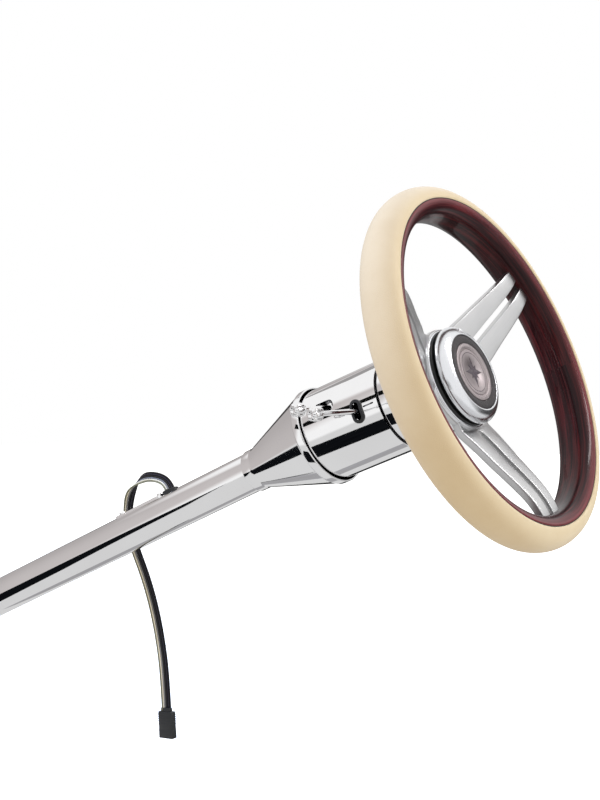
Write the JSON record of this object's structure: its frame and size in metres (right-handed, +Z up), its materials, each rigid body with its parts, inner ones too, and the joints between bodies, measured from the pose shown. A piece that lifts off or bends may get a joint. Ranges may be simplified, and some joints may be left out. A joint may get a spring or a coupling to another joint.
{
  "type": "boat steering wheel on a tilt column",
  "caption": "Chromed tilt steering column with turn and tilt levers, split-spoke wheel with leather and wood rim, sprung horn button and a loose wiring harness.",
  "frame": {"origin": "on the column axis, in the middle of the dash clamp's seat on the tube", "axes": "+Z up, +X along the vehicle towards the driver, +Y to the driver's right; the column rises towards +X"},
  "size_m": [0.9389, 0.38, 0.6256],
  "materials": {
    "chrome": "mirror chrome plate",
    "satin_steel": "satin, brushed along the spokes",
    "bright_steel": "ground and oiled",
    "cast_alloy": "as cast, grey",
    "bronze": "sintered bronze",
    "cream_leather": "smooth cream hide, lightly grained",
    "dark_wood": "dark mahogany under clear lacquer",
    "face_ring": "brown-black lacquer",
    "medal": "warm silver, spun",
    "emblem": "dark enamel",
    "black_plastic": "moulded black",
    "harness_wires": "coloured wires laid side by side"
  },
  "bodies": {
    "column": {"column_tube": "chrome", "column_bell": "chrome", "pivot_yoke": "cast_alloy", "pivot_pins": "bright_steel", "neck_bush": "bronze", "low_bearing": "bronze", "exit_grommet": "black_plastic", "slot_cover": "chrome", "cover_screws": "chrome", "harness": "harness_wires", "harness_plug": "black_plastic"},
    "lower_shaft": {"lower_shaft": "bright_steel"},
    "tilt_head": {"head_housing": "chrome", "signal_escutcheon": "chrome", "tilt_carrier": "cast_alloy", "rear_bush": "bronze", "bearing_outer_race": "bright_steel", "bearing_balls": "bright_steel", "signal_switch": "black_plastic", "signal_pin": "bright_steel", "tilt_lever_pin": "bright_steel"},
    "signal_lever": {"signal_rod": "chrome", "signal_knob": "chrome"},
    "tilt_lever": {"tilt_rod": "chrome", "tilt_knob": "chrome"},
    "wheel": {"upper_shaft": "bright_steel", "drive_pin": "bright_steel", "bearing_inner_race": "bright_steel", "hub_adapter": "chrome", "spoke_frame": "satin_steel", "wheel_nut": "bright_steel", "hub_screws": "bright_steel", "rim_core": "bright_steel", "rim_leather": "cream_leather", "rim_wood": "dark_wood", "horn_cup": "black_plastic", "horn_spring": "bright_steel"},
    "horn_button": {"horn_bezel": "satin_steel", "horn_ring": "face_ring", "horn_medal": "medal", "horn_emblem": "emblem"}
  },
  "joints": [
    {"name": "tilt", "type": "hinge", "parent": "column", "child": "tilt_head", "pos_m": [0.15188, 0, 0.06447], "axis": [0, -1, 0], "range_deg": [-10, 17]},
    {"name": "wheel_spin", "type": "hinge", "parent": "tilt_head", "child": "wheel", "pos_m": [0.15188, 0, 0.06447], "axis": [0.9367, 0, 0.3502], "continuous": true},
    {"name": "lower_shaft_spin", "type": "hinge", "parent": "column", "child": "lower_shaft", "pos_m": [0.15188, 0, 0.06447], "axis": [0.9205, 0, 0.3907], "continuous": true},
    {"name": "horn_press", "type": "slide", "parent": "wheel", "child": "horn_button", "axis": [-0.9367, 0, -0.3502], "range_m": [0, 0.0025], "stiffness_N_per_m": 2500, "springref_m": -0.0015, "deforming": ["horn_spring"]},
    {"name": "signal_lever", "type": "hinge", "parent": "tilt_head", "child": "signal_lever", "pos_m": [0.21979, -0.034, 0.08986], "axis": [0.9367, 0, 0.3502], "range_deg": [-9, 9]},
    {"name": "tilt_lever", "type": "hinge", "parent": "tilt_head", "child": "tilt_lever", "pos_m": [0.17649, -0.032, 0.09289], "axis": [-0.3502, 0, 0.9367], "range_deg": [0, 12], "stiffness_Nm_per_rad": 0.6, "springref_deg": -8.59}
  ],
  "couplings": [
    {"joint": "lower_shaft_spin", "follows": "wheel_spin", "ratio": 1}
  ]
}
